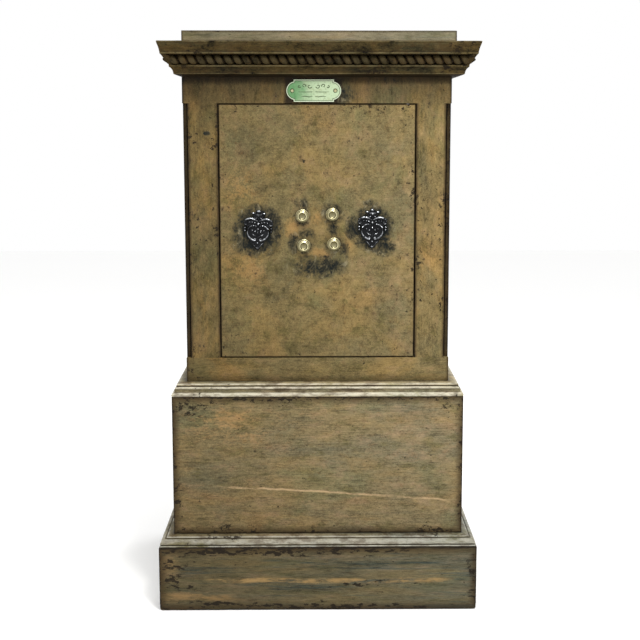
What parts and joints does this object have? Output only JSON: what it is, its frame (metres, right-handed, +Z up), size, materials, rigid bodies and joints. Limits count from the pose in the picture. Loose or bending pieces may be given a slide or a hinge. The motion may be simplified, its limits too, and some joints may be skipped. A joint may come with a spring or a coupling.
{
  "type": "pedestal safe",
  "caption": "Iron safe on a stepped pedestal with a rope-beaded cornice, one hinged door, brass letter knobs and swinging key covers over its locks.",
  "frame": {"origin": "centre of the footprint, on the floor", "axes": "+Z up, door faces -Y, +X to the right as seen from the front"},
  "size_m": [0.7, 0.562, 1.26],
  "materials": {
    "painted_case": "aged satin olive-brown paint with dings",
    "painted_mouldings": "aged satin grey-brown paint, worn at the edges",
    "inner_wood": "plain sawn",
    "bare_iron": "bare, oiled",
    "lining_paint": "dark brown satin",
    "filling": "dry mineral filling",
    "brass": "polished, worn",
    "black_cast": "glossy black"
  },
  "bodies": {
    "carcase": {"plinth_front_board": "painted_case", "plinth_side_boards": "painted_case", "plinth_back_board": "painted_case", "plinth_corner_blocks": "inner_wood", "plinth_deck": "painted_mouldings", "plinth_moulding": "painted_mouldings", "pedestal_front_board": "painted_case", "pedestal_side_boards": "painted_case", "pedestal_back_board": "painted_case", "pedestal_corner_posts": "inner_wood", "pedestal_deck": "painted_mouldings", "pedestal_moulding": "painted_mouldings", "casing_side_plates": "painted_case", "casing_back_plate": "painted_case", "casing_end_plates": "painted_case", "frame_top_rail": "painted_case", "frame_bottom_rail": "painted_case", "frame_stiles": "painted_case", "strike_bar": "bare_iron", "hinge_bar": "bare_iron", "head_and_sill_bars": "bare_iron", "fireproof_filling": "filling", "liner_side_plates": "lining_paint", "liner_back_plate": "lining_paint", "liner_end_plates": "lining_paint", "shelf": "inner_wood", "shelf_brackets": "bare_iron", "cornice_moulding": "painted_mouldings", "rope_moulding": "painted_mouldings", "cornice_board": "inner_wood", "cornice_back_rail": "inner_wood", "top_cap": "painted_mouldings", "nameplate": "brass", "nameplate_screws": "brass", "pivot_washer": "brass"},
    "door": {"door_front_plate": "painted_case", "door_edge_bars": "bare_iron", "door_filling": "filling", "lock_mounting_plate": "bare_iron", "door_back_cover": "lining_paint", "back_cover_screws": "bare_iron", "pivot_pins": "bare_iron", "keyhole_collars": "brass", "cover_pivot_screws": "black_cast", "bolt_bar_guides": "bare_iron"},
    "left_cover": {"left_key_cover": "black_cast"},
    "right_cover": {"right_key_cover": "black_cast"},
    "dial_upper_left": {"knob_upper_left": "brass", "wheel_upper_left": "brass"},
    "dial_upper_right": {"knob_upper_right": "brass", "wheel_upper_right": "brass"},
    "dial_lower_left": {"knob_lower_left": "brass", "wheel_lower_left": "brass"},
    "dial_lower_right": {"knob_lower_right": "brass", "wheel_lower_right": "brass"},
    "bolt_work": {"bolt_bar": "bare_iron", "lock_bolts": "bare_iron"},
    "main_barrel": {"main_lock_barrel": "brass"},
    "guard_bar": {"guard_bolt": "bare_iron"},
    "guard_barrel": {"guard_lock_barrel": "brass"}
  },
  "joints": [
    {"name": "door_swing", "type": "hinge", "parent": "carcase", "child": "door", "pos_m": [0.1945, -0.211, 0.832], "axis": [0, 0, 1], "range_deg": [0, 110]},
    {"name": "left_cover_swing", "type": "hinge", "parent": "door", "child": "left_cover", "pos_m": [-0.127, -0.219, 0.862], "axis": [0, -1, 0], "range_deg": [-110, 40]},
    {"name": "right_cover_swing", "type": "hinge", "parent": "door", "child": "right_cover", "pos_m": [0.1195, -0.219, 0.865], "axis": [0, -1, 0], "range_deg": [-40, 110]},
    {"name": "dial_upper_left_turn", "type": "hinge", "parent": "door", "child": "dial_upper_left", "pos_m": [-0.03249, -0.219, 0.86731], "axis": [0, -1, 0], "continuous": true},
    {"name": "dial_upper_right_turn", "type": "hinge", "parent": "door", "child": "dial_upper_right", "pos_m": [0.03243, -0.219, 0.8706], "axis": [0, -1, 0], "continuous": true},
    {"name": "dial_lower_left_turn", "type": "hinge", "parent": "door", "child": "dial_lower_left", "pos_m": [-0.02923, -0.219, 0.8029], "axis": [0, -1, 0], "continuous": true},
    {"name": "dial_lower_right_turn", "type": "hinge", "parent": "door", "child": "dial_lower_right", "pos_m": [0.03569, -0.219, 0.80619], "axis": [0, -1, 0], "continuous": true},
    {"name": "bolt_slide", "type": "slide", "parent": "door", "child": "bolt_work", "axis": [-1, 0, 0], "range_m": [0, 0.02]},
    {"name": "main_key_turn", "type": "hinge", "parent": "door", "child": "main_barrel", "pos_m": [-0.127, -0.219, 0.832], "axis": [0, -1, 0], "range_deg": [0, 115]},
    {"name": "guard_slide", "type": "slide", "parent": "door", "child": "guard_bar", "axis": [0, 0, 1], "range_m": [0, 0.01]},
    {"name": "guard_key_turn", "type": "hinge", "parent": "door", "child": "guard_barrel", "pos_m": [0.1195, -0.219, 0.832], "axis": [0, 1, 0], "range_deg": [0, 58]}
  ],
  "couplings": [
    {"joint": "main_key_turn", "follows": "bolt_slide", "rad_per_m": 100},
    {"joint": "guard_key_turn", "follows": "guard_slide", "rad_per_m": 100}
  ]
}
